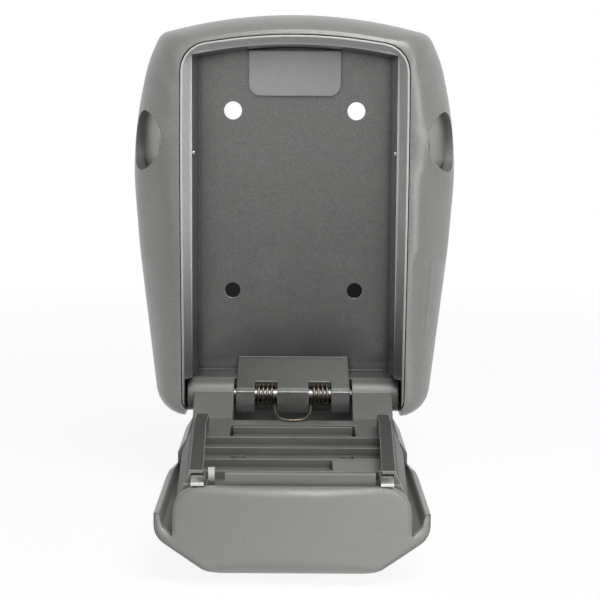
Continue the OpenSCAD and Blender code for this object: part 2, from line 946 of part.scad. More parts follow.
module cover_screws() {
    grip = 3;
    drive = 0.6;
    color(steel)
    at_hinge()
    both()
        for (p = cover_screw_places)
            translate([p[0], -p[1], 0]) {
                translate([0, 0, floor_w + grip])
                    cylinder(d = cover_screw_d - 2 * press_gap, h = cover_floor - floor_w - grip + drive / 2);
                difference() {
                    translate([0, 0, cover_floor + press_gap])
                        cylinder(d = cover_head_d, h = cover_head_t);
                    span([-cover_head_d, -drive / 2, cover_floor + cover_head_t / 2],
                        [cover_head_d, drive / 2, cover_floor + 2 * cover_head_t]);
                }
            }
}

module dial_shaft() {
    color(steel)
    at_hinge()
        translate([0, -dial_v, dial_wz])
            rod_x(shaft_d, -shaft_half, shaft_half);
}

module shaft_clips() {
    slot = 1.8;
    color(steel)
    at_hinge()
        translate([0, -dial_v, dial_wz])
            both()
                difference() {
                    rod_x(clip_d, saddle_in + saddle_t + press_gap, saddle_in + saddle_t + clip_t);
                    rod_x(shaft_d + 2 * press_gap, 0, shaft_half);
                    span([0, -slot / 2, -clip_d], [shaft_half, slot / 2, 0]);
                }
}

module detent_spring() {
    back = dial_v - dial_d / 2 - fit_gap;
    color(steel)
    at_hinge() {
        door_span([-detent_base, detent_base], [back - detent_len, back],
            [floor_w + press_gap, floor_w + detent_t]);
        for (i = [0:dial_count - 1])
            door_span([dial_x(i) - detent_half, dial_x(i) + detent_half], [back - detent_t, back],
                [floor_w + press_gap, detent_w]);
    }
}

latch_spring_path =
    [for (i = [0:spring_turns * curl_rings])
        let (a = 360 * i / curl_rings)
        let (run = slider_from - seat_to - spring_wire - 2 * run_gap)
        [(spring_d - spring_wire) / 2 * cos(a),
            -seat_to - spring_wire / 2 - run_gap - run * i / spring_turns / curl_rings,
            (spring_d - spring_wire) / 2 * sin(a) + spring_w]];
echo(latch_spring_least_gap = least_gap(latch_spring_path, spring_wire));

module latch_springs() {
    color(steel)
    at_hinge()
    for (x = [-spring_x, spring_x])
        translate([x, 0, 0])
            tube(latch_spring_path, spring_wire, [0, 1, 0]);
}

module latch_slider() {
    color(steel)
    at_hinge()
    difference() {
        union() {
            door_span([-slider_half, slider_half], [slider_from, slider_to],
                [slider_w, slider_w + slider_t]);
            both()
                door_span([ear_in, slider_half], [slider_to - cut, ear_to],
                    [slider_w, slider_w + slider_t]);
            for (i = [0:dial_count - 1])
                door_span([dial_x(i) - fence_w / 2, dial_x(i) + fence_w / 2],
                    [fence_from, slider_from + cut], [slider_w, slider_w + slider_t]);
        }
        translate([0, -button_v, slider_w - cut])
            cylinder(d = button_screw_d + 2 * run_gap, h = slider_t + 2 * cut);
    }
}

module latch_bolts() {
    color(steel)
    at_hinge()
    both() {
        translate([(bolt_in + bolt_out) / 2, 0, 0])
            along_x(bolt_w)
                polygon([[-bolt_from, bolt_low], [-bolt_to, bolt_low], [-bolt_to, bolt_low + bolt_tip],
                    [bolt_nose - bolt_to, bolt_high], [-bolt_from, bolt_high]]);
        door_span([bolt_in, slider_half], [bolt_from + fit_gap, ear_to],
            [slider_w + slider_t + press_gap, bolt_low + cut]);
    }
}

module open_button() {
    face = -door_d - fit_gap - button_rise;
    color(black)
    at_hinge()
    difference() {
        union() {
            door_span([-button_half, button_half], [button_v - button_len / 2, button_v + button_len / 2],
                [face + cut, slider_w - press_gap]);
            translate([0, -button_v, face])
                linear_extrude(button_rise)
                    polygon(rounded(both_sides([[button_head, button_head_half, 2],
                        [button_head, -button_head_half, 2]])));
            for (v = [-1:1])
                door_span([2 - button_head, button_head - 2],
                    [button_v + v * grip_pitch - grip_t, button_v + v * grip_pitch + grip_t],
                    [face - grip_t, face + grip_t]);
        }
        translate([0, -button_v, slider_w - button_screw_len - cut])
            cylinder(d = button_screw_d, h = button_screw_len + 2 * cut);
    }
}

module button_screw() {
    color(steel)
    at_hinge()
    translate([0, -button_v, slider_w]) {
        translate([0, 0, -button_screw_len])
            cylinder(d = button_screw_d - 2 * press_gap, h = button_screw_len + slider_t + cut / 2);
        translate([0, 0, slider_t + press_gap])
            cylinder(d = button_screw_head, h = cover_head_t);
    }
}

module reset_lever() {
    foot_w = cover_low - fit_gap;
    color(steel)
    at_hinge() {
        door_span([lever_x, lever_x + lever_t], [lever_from, lever_to], [foot_w - lever_foot_t, lever_top]);
        door_span([lever_x, lever_x + lever_foot], [lever_from, lever_to], [foot_w - lever_foot_t, foot_w]);
    }
}

module dial_shutter() {
    face = fit_gap - door_d;
    color(black)
    at_hinge() {
        door_span([-shutter_half, shutter_half], [shutter_from, shutter_to], [face, face + shutter_t]);
        door_span([-shutter_half - tongue_out, shutter_half + tongue_out], [shutter_from, shutter_to],
            [face + shutter_t - tongue_t, face + shutter_t]);
        for (k = [1:4])
            let (v = shutter_from + k * ridge_pitch)
            door_span([-ridge_half, ridge_half], [v, v + ridge_pitch / 2],
                [-door_d - fit_gap, face + fit_gap]);
    }
}

module number_wheel(i) {
    color(bone)
    at_hinge()
    translate([dial_x(i), -dial_v, dial_wz])
        difference() {
            rotate([0, 90, 0])
                cylinder(d = dial_d, h = dial_w, center = true);
            rod_x(hub_d + 2 * press_gap, -dial_w, dial_w);
            for (k = [0:notch_count - 1])
                rotate([360 * k / notch_count, 0, 0])
                    translate([0, dial_d / 2 + notch_off, 0])
                        rod_x(notch_d, -dial_w, dial_w);
        }
}

module dial_hub(i) {
    color(black)
    at_hinge()
    translate([dial_x(i), -dial_v, dial_wz])
        difference() {
            rod_x(hub_d, hub_gap - dial_pitch / 2, dial_pitch / 2 - hub_gap);
            rod_x(shaft_d + 2 * run_gap, -dial_w, dial_w);
            span([-dial_w, -gate_w / 2, hub_d / 2 - gate_t], [-dial_w / 2, gate_w / 2, hub_d]);
        }
}

case_body();
outer_shell();
blanking_plate();
plate_posts();
hole_plugs();
side_rivets();
shell_screws();
hinge_pin();
hinge_spring();
door_shell();
mechanism_cover();
cover_screws();
dial_shaft();
shaft_clips();
detent_spring();
latch_springs();
latch_slider();
latch_bolts();
open_button();
button_screw();
reset_lever();
dial_shutter();
number_wheel(0);  // number_wheel_1
number_wheel(1);  // number_wheel_2
number_wheel(2);  // number_wheel_3
number_wheel(3);  // number_wheel_4
dial_hub(0);  // dial_hub_1
dial_hub(1);  // dial_hub_2
dial_hub(2);  // dial_hub_3
dial_hub(3);  // dial_hub_4
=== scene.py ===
import json
import math

import bmesh
import bpy
from mathutils import Matrix, Vector


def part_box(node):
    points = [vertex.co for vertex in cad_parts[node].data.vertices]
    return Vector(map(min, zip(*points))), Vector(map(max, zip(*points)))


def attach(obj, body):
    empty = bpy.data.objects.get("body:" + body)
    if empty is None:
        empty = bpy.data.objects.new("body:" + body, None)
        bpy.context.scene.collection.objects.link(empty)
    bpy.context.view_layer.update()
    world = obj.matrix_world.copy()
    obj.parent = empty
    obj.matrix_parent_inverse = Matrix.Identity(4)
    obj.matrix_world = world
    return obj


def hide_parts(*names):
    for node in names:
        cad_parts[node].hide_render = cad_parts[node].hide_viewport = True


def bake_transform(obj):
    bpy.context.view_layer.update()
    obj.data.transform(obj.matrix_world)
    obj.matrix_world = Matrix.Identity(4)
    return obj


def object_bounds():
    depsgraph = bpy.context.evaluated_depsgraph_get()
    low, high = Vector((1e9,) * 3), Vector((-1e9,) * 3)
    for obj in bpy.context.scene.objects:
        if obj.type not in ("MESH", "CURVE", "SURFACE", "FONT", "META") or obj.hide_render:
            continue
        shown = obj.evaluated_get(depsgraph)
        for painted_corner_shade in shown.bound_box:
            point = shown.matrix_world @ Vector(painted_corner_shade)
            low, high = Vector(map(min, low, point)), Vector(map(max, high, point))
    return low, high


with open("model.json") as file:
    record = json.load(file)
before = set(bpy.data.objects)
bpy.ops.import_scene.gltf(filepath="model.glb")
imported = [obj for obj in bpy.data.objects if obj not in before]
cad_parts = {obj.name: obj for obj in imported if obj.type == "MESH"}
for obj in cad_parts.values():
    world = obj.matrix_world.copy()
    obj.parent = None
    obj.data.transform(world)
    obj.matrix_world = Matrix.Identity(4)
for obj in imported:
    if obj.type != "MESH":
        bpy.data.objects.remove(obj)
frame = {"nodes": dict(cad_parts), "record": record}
cad_low, cad_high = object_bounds()
scene = bpy.context.scene
MM = 0.001


# Camera, at the photograph's place. Angles are in degrees.

SENSOR, LENS = 36, 94.5
CAMERA_PLACE = (0, -0.5295, 0.0314)
CAMERA_DIP, CAMERA_YAW, CAMERA_ROLL = 7.0, -0.236, 0.4


def turned(angle, axis):
    return Matrix.Rotation(math.radians(angle), 4, axis)


def make_camera():
    data = bpy.data.cameras.new("camera")
    data.sensor_width = SENSOR
    data.lens = LENS
    cam = bpy.data.objects.new("camera", data)
    scene.collection.objects.link(cam)
    turn = turned(CAMERA_YAW, "Z") @ turned(90 - CAMERA_DIP, "X") @ turned(CAMERA_ROLL, "Z")
    cam.matrix_world = Matrix.Translation(CAMERA_PLACE) @ turn
    scene.camera = cam


# Node trees

class Tree:
    """Small helper round a node tree. Its values are sockets or plain numbers."""

    def __init__(self, tree, coords="Object"):
        self.tree = tree
        self.place = self.node("ShaderNodeTexCoord").outputs[coords]

    def feed(self, value, socket):
        if isinstance(value, bpy.types.NodeSocket):
            self.tree.links.new(value, socket)
        else:
            socket.default_value = value

    def node(self, kind, inputs=None, **settings):
        n = self.tree.nodes.new(kind)
        for key, value in settings.items():
            setattr(n, key, value)
        for key, value in (inputs or {}).items():
            self.feed(value, n.inputs[key])
        return n

    def math(self, kind, a, b=0.0):
        return self.node("ShaderNodeMath", {0: a, 1: b}, operation=kind).outputs["Value"]

    def product(self, first, *others):
        for value in others:
            first = self.math("MULTIPLY", first, value)
        return first

    def remap(self, value, between, to=(0.0, 1.0), **settings):
        """Value mapped from one range to another, and held at its ends."""
        ends = {"From Min": between[0], "From Max": between[1], "To Min": to[0], "To Max": to[1]}
        return self.node("ShaderNodeMapRange", {"Value": value, **ends}, **settings).outputs["Result"]

    def eased(self, value, between, to=(0.0, 1.0)):
        return self.remap(value, between, to, interpolation_type="SMOOTHSTEP")

    def along(self, axis):
        return self.node("ShaderNodeSeparateXYZ", {"Vector": self.place}).outputs[axis]

    def mix_shader(self, fac, a, b):
        return self.node("ShaderNodeMixShader", {"Fac": fac, 1: a, 2: b}).outputs[0]

    def shown_rays(self):
        """1 for the rays that show the background: seen, mirrored or through glass."""
        path = self.node("ShaderNodeLightPath").outputs
        shown = self.math("MAXIMUM", path["Is Camera Ray"], path["Is Glossy Ray"])
        return self.math("MAXIMUM", shown, path["Is Transmission Ray"])


class Shader(Tree):
    """One material and its Principled shader."""

    samples = 6
    noise_range = (0.3, 0.7)  # where most of a noise's values lie
    edge_range = (0.995, 0.88)  # cosine of the bend, from flat to edge
    shade_range = (0.25, 0.85)  # openness, from the darkest to plain

    def __init__(self, name):
        self.mat = bpy.data.materials.new(name)
        self.mat.use_nodes = True
        super().__init__(self.mat.node_tree)
        self.bsdf = self.tree.nodes["Principled BSDF"]

    def put(self, key, value):
        self.feed(value, self.bsdf.inputs[key])

    def noise(self, scale, detail=2.0, rough=0.5, stretch=None):
        place = self.place
        if stretch:
            mapped = self.node("ShaderNodeMapping", {"Vector": place, "Scale": stretch})
            place = mapped.outputs["Vector"]
        inputs = {"Vector": place, "Scale": scale, "Detail": detail, "Roughness": rough}
        return self.node("ShaderNodeTexNoise", inputs).outputs["Fac"]

    def spread(self, noise, to=(0.0, 1.0)):
        return self.remap(noise, self.noise_range, to)

    def within(self, box):
        """1 inside a box in the frame, in millimetres, and 0 outside."""
        inside = 1.0
        for axis, low, high in zip("XYZ", *box):
            place = self.along(axis)
            inside = self.product(inside, self.math("GREATER_THAN", place, low * MM),
                                  self.math("LESS_THAN", place, high * MM))
        return inside

    def mix(self, fac, a, b):
        n = self.node("ShaderNodeMix", {"Factor": fac}, data_type="RGBA")
        for key, value in (("A", a), ("B", b)):
            socket = [s for s in n.inputs if s.name == key and s.type == "RGBA"][0]
            self.feed((*value, 1) if isinstance(value, tuple) else value, socket)
        return [s for s in n.outputs if s.type == "RGBA"][0]

    def edges(self, radius):
        """Soft normal round the edges, and a mask that is 1 on them."""
        bevel = self.node("ShaderNodeBevel", {"Radius": radius}, samples=self.samples)
        soft = bevel.outputs["Normal"]
        flat = self.node("ShaderNodeNewGeometry").outputs["Normal"]
        dot = self.node("ShaderNodeVectorMath", {0: soft, 1: flat}, operation="DOT_PRODUCT")
        return soft, self.remap(dot.outputs["Value"], self.edge_range)

    def openness(self, reach):
        """1 in the open, less in corners and gaps."""
        n = self.node("ShaderNodeAmbientOcclusion", {"Distance": reach}, samples=self.samples)
        return n.outputs["AO"]

    def shaded(self, colour, open_to, least):
        """Colour darkened in corners and gaps, where shade falls: painted shade."""
        return self.mix(self.remap(open_to, self.shade_range, (least, 1.0)), (0.0, 0.0, 0.0), colour)

    def bumped(self, height, strength, distance, normal=None):
        inputs = {"Height": height, "Strength": strength, "Distance": distance}
        if normal is not None:
            inputs["Normal"] = normal
        return self.node("ShaderNodeBump", inputs).outputs["Normal"]


# Materials

def tint(c, k):
    return tuple(min(1.0, v * k) for v in c)


def toned(s, mask, colour, dark, pale):
    """Colour between two tones of itself, by a mask."""
    return s.mix(mask, tint(colour, dark), tint(colour, pale))


def painted(s, colour, grain, fine, cloud):
    """Cloudy tone with a fine speckle in it."""
    speck_range, speck_share = (0.3, 0.72), 0.5
    body = toned(s, s.spread(cloud), colour, dark=0.94, pale=1.06)
    speck = toned(s, s.remap(fine, speck_range), colour, dark=1 - grain, pale=1 + grain)
    return s.mix(speck_share, body, speck)


# Soft crease down each flank of the shell, in millimetres. It lies at CREASE_X at z = 0, draws in
# below that by CREASE_LEAN, bends in above it by CREASE_BEND, and fades out at CREASE_TOP and CREASE_FOOT.

CREASE_X, CREASE_LEAN, CREASE_WIDTH, CREASE_DEPTH = 47.4, 0.062, 6.5, 2.0
CREASE_BEND, CREASE_POWER, CREASE_RISE = 9.9, 1.6, (0.0, 24.0)
CREASE_TOP, CREASE_FOOT = (-4.0, 24.0), (-64.0, -36.0)
NATURAL_BASE = 2.718


def flank_crease(s):
    """Height of the flank's crease, in metres."""
    z = s.product(s.along("Z"), 1 / MM)
    x = s.math("ABSOLUTE", s.product(s.along("X"), 1 / MM))
    inward = s.product(s.math("POWER", s.remap(z, CREASE_RISE), CREASE_POWER), CREASE_BEND)
    drawn = s.product(s.math("MINIMUM", z, 0.0), CREASE_LEAN)
    middle = s.math("SUBTRACT", s.math("ADD", drawn, CREASE_X), inward)
    off = s.math("DIVIDE", s.math("SUBTRACT", x, middle), CREASE_WIDTH)
    form = s.math("POWER", NATURAL_BASE, s.product(off, off, -1.0))
    ends = s.product(s.eased(z, CREASE_TOP, (1.0, 0.0)), s.eased(z, CREASE_FOOT))
    return s.product(form, ends, -CREASE_DEPTH * MM)


# Slight crown of the door's end panel, in millimetres

PANEL_HALF, PANEL_CROWN = 36, 4.5
PANEL_FRONT, PANEL_EDGE = -133.5, -131.5


def panel_bulge(s):
    """Height of the end panel's crown, in metres below its middle."""
    x = s.product(s.along("X"), 1 / (PANEL_HALF * MM))
    front = s.remap(s.along("Y"), (PANEL_FRONT * MM, PANEL_EDGE * MM), (1.0, 0.0))
    return s.product(x, x, front, -PANEL_CROWN * MM)


# Colour of bare zinc on worn edges, also used for the painted edge highlight.
ZINC_WEAR_AND_HIGHLIGHT = (0.62, 0.63, 0.61)


def coat(name, colour, metal, rough, grain, wear, rub_and_edge_highlight=0.25, rim=None, zones=(), relief=None,
         soft=None, painted_corner_shade=0.25):
    """Satin metallic paint on a casting: fine grain, cloudy tone, worn edges, edges also paled as a
    painted edge highlight, and painted shade in its corners.

    Wear is how bare its chipped edges are. Rubbing pales its other edges, partly as wear and partly as a
    painted edge highlight. The corner setting is how dark the painted shade in its inner corners is.
    A rim is (y, (low z, high z), colour, metal): what lies before y is paler as a bare strip, and more so
    higher up as painted light.
    A zone is (box, tone): a part that is paler or darker, as painted light or painted shade.
    Relief is a function that gives a height. Soft is (y, radius): edges in front of y are rounder.
    """
    edge_r, reach, soft_blur, rim_blur = 0.45 * MM, 2.5 * MM, 1 * MM, 0.2 * MM
    edge_open, chip_range, rough_spread = (0.6, 0.9), (0.5, 0.66), 0.02
    s = Shader(name)
    radius = edge_r
    if soft:
        before, soft_r = soft
        radius = s.remap(s.along("Y"), (before - soft_blur, before), (soft_r, edge_r))
    normal, edge = s.edges(radius)
    if relief:
        normal = s.bumped(relief(s), strength=1.0, distance=1.0, normal=normal)
    fine = s.noise(scale=3200, detail=2.0, rough=0.6)
    cloud = s.noise(scale=38, detail=3.0, rough=0.55)
    paint = painted(s, colour, grain, fine, cloud)
    # Zones of painted light and painted shade.
    for box, tone in zones:
        paint = s.mix(s.within(box), paint, painted(s, tint(colour, tone), grain, fine, cloud))
    open_to = s.openness(reach)
    # Painted shade in corners and gaps.
    paint = s.shaded(paint, open_to, painted_corner_shade)
    edge = s.product(edge, s.remap(open_to, edge_open))
    s.put("Metallic", metal)
    # Rim: a paler bare strip, paler still towards the top as painted light.
    if rim:
        before, painted_light_rise, pale, pale_metal = rim
        front = s.product(s.remap(s.along("Y"), (before - rim_blur, before + rim_blur), (1.0, 0.0)),
                          s.eased(s.along("Z"), painted_light_rise))
        paint = s.mix(front, paint, painted(s, pale, grain, fine, cloud))
        s.put("Metallic", s.remap(front, (0.0, 1.0), (metal, pale_metal)))
    # Chipped edges worn to bare zinc, and every open edge paled, partly by rubbing and partly as a painted
    # edge highlight.
    chips = s.remap(s.noise(scale=420, detail=4.0, rough=0.65), chip_range)
    wear_and_edge_highlight = s.math("MAXIMUM", s.product(edge, chips, wear), s.product(edge, rub_and_edge_highlight))
    s.put("Base Color", s.mix(wear_and_edge_highlight, paint, ZINC_WEAR_AND_HIGHLIGHT))
    sheen = s.noise(scale=160, detail=3.0)
    s.put("Roughness", s.spread(sheen, (rough - rough_spread, rough + rough_spread)))
    s.put("Normal", s.bumped(fine, strength=0.16, distance=0.06 * MM, normal=normal))
    return s.mat


def plastic(name, colour, rough, texture, shine=0.5, zones=()):
    """Moulded plastic with a fine spark-eroded surface, rubbed edges also paled as a painted edge
    highlight, and painted shade in its corners.

    A zone is (box, tone): a part that is paler or darker, as painted light or painted shade.
    """
    edge_r, reach, edge_open, edge_most = 0.45 * MM, 2.0 * MM, (0.5, 0.85), 0.8
    edge_tone, painted_corner_shade, smoother, rougher = 3.2, 0.4, 0.06, 0.08
    s = Shader(name)
    normal, edge = s.edges(edge_r)
    open_to = s.openness(reach)
    edge = s.product(edge, s.remap(open_to, edge_open, (0.0, edge_most)))
    fine = s.noise(scale=1500, detail=3.0, rough=0.6)
    cloud = s.noise(scale=45, detail=2.0)
    base = toned(s, s.spread(cloud), colour, dark=0.88, pale=1.1)
    for box, tone in zones:
        base = s.mix(s.within(box), base, tint(colour, tone))
    # Edges paled, partly by rubbing and partly as a painted edge highlight; painted shade in corners.
    s.put("Base Color", s.shaded(s.mix(edge, base, tint(colour, edge_tone)), open_to, painted_corner_shade))
    s.put("Roughness", s.spread(fine, (rough - smoother, rough + rougher)))
    s.put("Specular IOR Level", shine)
    s.put("Normal", s.bumped(fine, strength=texture, distance=0.06 * MM, normal=normal))
    return s.mat


def metal(name, colour, rough, stretch, streak):
    """Plated or drawn steel: streaks along the grain and cloudy roughness."""
    edge_r, edge_share, edge_tone, smoother, rougher = 0.2 * MM, 0.4, 1.25, 0.06, 0.09
    s = Shader(name)
    normal, edge = s.edges(edge_r)
    lines = s.noise(scale=900, detail=4.0, rough=0.6, stretch=stretch)
    cloud = s.noise(scale=120, detail=2.0)
    base = toned(s, s.spread(lines), colour, dark=1 - streak, pale=1 + streak)
    s.put("Base Color", s.mix(s.product(edge, edge_share), base, tint(colour, edge_tone)))
    s.put("Roughness", s.spread(cloud, (rough - smoother, rough + rougher)))
    s.put("Metallic", 1.0)
    s.put("Normal", s.bumped(lines, strength=0.12, distance=0.04 * MM, normal=normal))
    return s.mat


def ink(name, colour):
    """Printed ink, a little patchy."""
    s = Shader(name)
    patch = s.noise(scale=700, detail=3.0)
    s.put("Base Color", toned(s, s.spread(patch), colour, dark=0.88, pale=1.0))
    s.put("Roughness", s.spread(patch, (0.45, 0.6)))
    s.put("Normal", s.bumped(patch, strength=0.1, distance=0.02 * MM))
    return s.mat


# Smooth shading over the CAD nodes' small faces, with edges kept

WELD = 0.003 * MM
SHARP = math.radians(26)


def smooth_group():
    g = bpy.data.node_groups.new("smooth_by_angle", "GeometryNodeTree")
    g.interface.new_socket("Geometry", in_out="INPUT", socket_type="NodeSocketGeometry")
    g.interface.new_socket("Geometry", in_out="OUTPUT", socket_type="NodeSocketGeometry")
    start = g.nodes.new("NodeGroupInput")
    stop = g.nodes.new("NodeGroupOutput")
    weld = g.nodes.new("GeometryNodeMergeByDistance")
    weld.inputs["Distance"].default_value = WELD
    faces = g.nodes.new("GeometryNodeSetShadeSmooth")
    edges = g.nodes.new("GeometryNodeSetShadeSmooth")
    edges.domain = "EDGE"
    edges.inputs["Shade Smooth"].default_value = False
    angle = g.nodes.new("GeometryNodeInputMeshEdgeAngle")
    over = g.nodes.new("FunctionNodeCompare")
    over.data_type = "FLOAT"
    over.operation = "GREATER_THAN"
    over.inputs["B"].default_value = SHARP
    g.links.new(start.outputs[0], weld.inputs["Geometry"])
    g.links.new(weld.outputs["Geometry"], faces.inputs["Geometry"])
    g.links.new(faces.outputs["Geometry"], edges.inputs["Geometry"])
    g.links.new(angle.outputs["Unsigned Angle"], over.inputs["A"])
    g.links.new(over.outputs["Result"], edges.inputs["Selection"])
    g.links.new(edges.outputs["Geometry"], stop.inputs[0])
    return g


def smooth(o, group):
    bpy.context.view_layer.objects.active = o
    bpy.ops.mesh.customdata_custom_splitnormals_clear()
    m = o.modifiers.new("smooth", "NODES")
    m.node_group = group
    w = o.modifiers.new("weight", "WEIGHTED_NORMAL")
    w.keep_sharp = True


# New pieces

def mesh_object(name, verts, faces, mat, rounded=True):
    mesh = bpy.data.meshes.new(name)
    mesh.from_pydata([tuple(v) for v in verts], [], faces)
    mesh.update()
    for p in mesh.polygons:
        p.use_smooth = rounded
    mesh.materials.append(mat)
    o = bpy.data.objects.new(name, mesh)
    scene.collection.objects.link(o)
    return o


def tube(name, path, wire, mat, sides=14):
    """Round wire along a path, with its ends closed."""
    straight = 1e-4
    path = [Vector(p) for p in path]
    verts, faces = [], []
    side = Vector((1, 0, 0))
    for i, p in enumerate(path):
        t = (path[min(i + 1, len(path) - 1)] - path[max(i - 1, 0)]).normalized()
        side = side - t * side.dot(t)
        if side.length < straight:
            side = t.orthogonal()
        side.normalize()
        up = t.cross(side)
        for k in range(sides):
            a = 2 * math.pi * k / sides
            verts.append(p + (side * math.cos(a) + up * math.sin(a)) * wire / 2)
    for i in range(len(path) - 1):
        for k in range(sides):
            a, b = i * sides + k, i * sides + (k + 1) % sides
            faces.append((a, b, b + sides, a + sides))
    faces.append(tuple(range(sides - 1, -1, -1)))
    last = (len(path) - 1) * sides
    faces.append(tuple(last + k for k in range(sides)))
    return mesh_object(name, verts, faces, mat)


def curve_through(points, steps):
    """Catmull-Rom curve through points."""
    out = []
    p = [Vector(q) for q in points]
    p = [p[0] * 2 - p[1]] + p + [p[-1] * 2 - p[-2]]
    for i in range(1, len(p) - 2):
        for k in range(steps):
            t = k / steps
            out.append(0.5 * ((2 * p[i]) + (p[i + 1] - p[i - 1]) * t
                              + (2 * p[i - 1] - 5 * p[i] + 4 * p[i + 1] - p[i + 2]) * t * t
                              + (3 * p[i] - p[i - 1] - 3 * p[i + 1] + p[i + 2]) * t ** 3))
    out.append(p[-2])
    return out


# Hinge spring, in millimetres from the hinge axis. BENDS leads from the coil to the bail, in shares of
# its turn, reach and drop.

HINGE = Vector((0, -26.4, -61.0))
WIRE, COIL_R, COIL_IN, COIL_OUT, TURNS = 0.85, 2.825, 5.9, 11.5, 4
LEG, BAIL_V, BAIL_DROP, BAIL_TURN = 9.0, 21.0, 1.7, 4.7
BENDS = [(0, 0, 0), (0, 0.35, 0.15), (0.1, 0.68, 0.55), (0.45, 0.92, 0.9), (1, 1, 1)]
LEG_STEPS, TURN_STEPS, BEND_STEPS = 6, 40, 8


def hinge_spring(mat):
    leg = [(-COIL_OUT, LEG * (1 - k / LEG_STEPS), -COIL_R) for k in range(LEG_STEPS)]
    coil = []
    for i in range(TURNS * TURN_STEPS + 1):
        a = math.radians(-90 - 360 * i / TURN_STEPS)
        x = -COIL_OUT + (COIL_OUT - COIL_IN) * i / (TURNS * TURN_STEPS)
        coil.append((x, COIL_R * math.cos(a), COIL_R * math.sin(a)))
    bail = [(BAIL_TURN * a - COIL_IN, -BAIL_V * b, -COIL_R - BAIL_DROP * c) for a, b, c in BENDS]
    bail.append((0, -BAIL_V, -COIL_R - BAIL_DROP))
    path = leg + coil + curve_through(bail, BEND_STEPS)[1:]
    for side, sign in (("left", 1), ("right", -1)):
        points = [(HINGE + Vector((sign * x, y, z))) * MM for x, y, z in path]
        o = tube("hinge_spring_" + side, points, WIRE * MM, mat)
        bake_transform(o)
        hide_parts("hinge_spring")


# Latch springs, as large as their node's box

LATCH_WIRE, LATCH_TURNS, LATCH_STEPS, LATCH_SIDES = 0.6, 4, 32, 10


def latch_springs(mat):
    low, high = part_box("latch_springs")
    wire = LATCH_WIRE * MM
    r = (high.z - low.z - wire) / 2
    z = (high.z + low.z) / 2
    start, stop = high.y - wire / 2, low.y + wire / 2
    for side, x in (("left", low.x + r + wire / 2), ("right", high.x - r - wire / 2)):
        path = []
        for i in range(LATCH_TURNS * LATCH_STEPS + 1):
            a = 2 * math.pi * i / LATCH_STEPS
            y = start + (stop - start) * i / (LATCH_TURNS * LATCH_STEPS)
            path.append((x + r * math.cos(a), y, z + r * math.sin(a)))
        o = tube("latch_spring_" + side, path, wire, mat, LATCH_SIDES)
        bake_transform(o)
        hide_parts("latch_springs")


# Numbers round each wheel, in millimetres and degrees

WHEELS, DIGITS, FIRST_DIGIT = 4, 10, 270
WHEEL_R, DIGIT_H, DIGIT_LIFT, DIGIT_SINK = 6.6, 2.7, 0.05, 0.03
DIGIT_STRIPS, DIGIT_DETAIL = 8, 4


def digit_mesh(text):
    """Flat digit, centred, cut across so that it bends."""
    curve = bpy.data.curves.new("digit", "FONT")
    curve.body = text
    curve.align_x = "CENTER"
    curve.resolution_u = DIGIT_DETAIL
    o = bpy.data.objects.new("digit", curve)
    scene.collection.objects.link(o)
    bpy.context.view_layer.update()
    mesh = bpy.data.meshes.new_from_object(o.evaluated_get(bpy.context.evaluated_depsgraph_get()))
    bpy.data.objects.remove(o)
    bm = bmesh.new()
    bm.from_mesh(mesh)
    bpy.data.meshes.remove(mesh)
    ys = [v.co.y for v in bm.verts]
    low, high = min(ys), max(ys)
    k = DIGIT_H / (high - low)
    for v in bm.verts:
        v.co = Vector((v.co.x * k, (v.co.y - (low + high) / 2) * k, 0))
    for i in range(1, DIGIT_STRIPS):
        t = DIGIT_H * (i / DIGIT_STRIPS - 0.5)
        bmesh.ops.bisect_plane(bm, geom=bm.verts[:] + bm.edges[:] + bm.faces[:],
                               plane_co=(0, t, 0), plane_no=(0, 1, 0))
    return bm


def wheel_digits(i, mat):
    low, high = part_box(f"number_wheel_{i}")
    middle = (low + high) / 2
    verts, faces = [], []
    for n in range(DIGITS):
        bm = digit_mesh(str(n))
        bm.verts.ensure_lookup_table()
        count = len(bm.verts)
        base = len(verts)
        face_angle = math.radians(FIRST_DIGIT + 360 / DIGITS * n)
        for lift in (DIGIT_LIFT, -DIGIT_SINK):
            r = WHEEL_R + lift
            for v in bm.verts:
                a = face_angle - v.co.y / WHEEL_R
                verts.append(Vector((middle.x + v.co.x * MM, middle.y + r * math.cos(a) * MM,
                                     middle.z + r * math.sin(a) * MM)))
        for f in bm.faces:
            ids = [v.index for v in f.verts]
            faces.append([base + k for k in ids])
            faces.append([base + count + k for k in reversed(ids)])
        for e in bm.edges:
            if len(e.link_faces) == 1:
                loop = e.link_faces[0].loops
                a, b = [(q.vert.index, q.link_loop_next.vert.index) for q in loop if q.edge == e][0]
                faces.append([base + b, base + a, base + count + a, base + count + b])
        bm.free()
    o = mesh_object(f"wheel_digits_{i}", verts, faces, mat, rounded=False)
    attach(o, f"dial_{i}")


# Stage and light, in metres

def area(name, place, aim, size, power):
    data = bpy.data.lights.new(name, "AREA")
    data.shape = "RECTANGLE"
    data.size, data.size_y = size
    data.energy = power
    o = bpy.data.objects.new(name, data)
    o.location = place
    o.rotation_mode = "QUATERNION"
    o.rotation_quaternion = (Vector(aim) - Vector(place)).to_track_quat("-Z", "Y")
    scene.collection.objects.link(o)


WHITE = (1, 1, 1, 1)
TABLE_BAND = (-0.08, 0.0)  # how far below level the mirrored table reaches
STUDIO_BAND = (-0.5, 0.25)  # from the camera's side to the far side


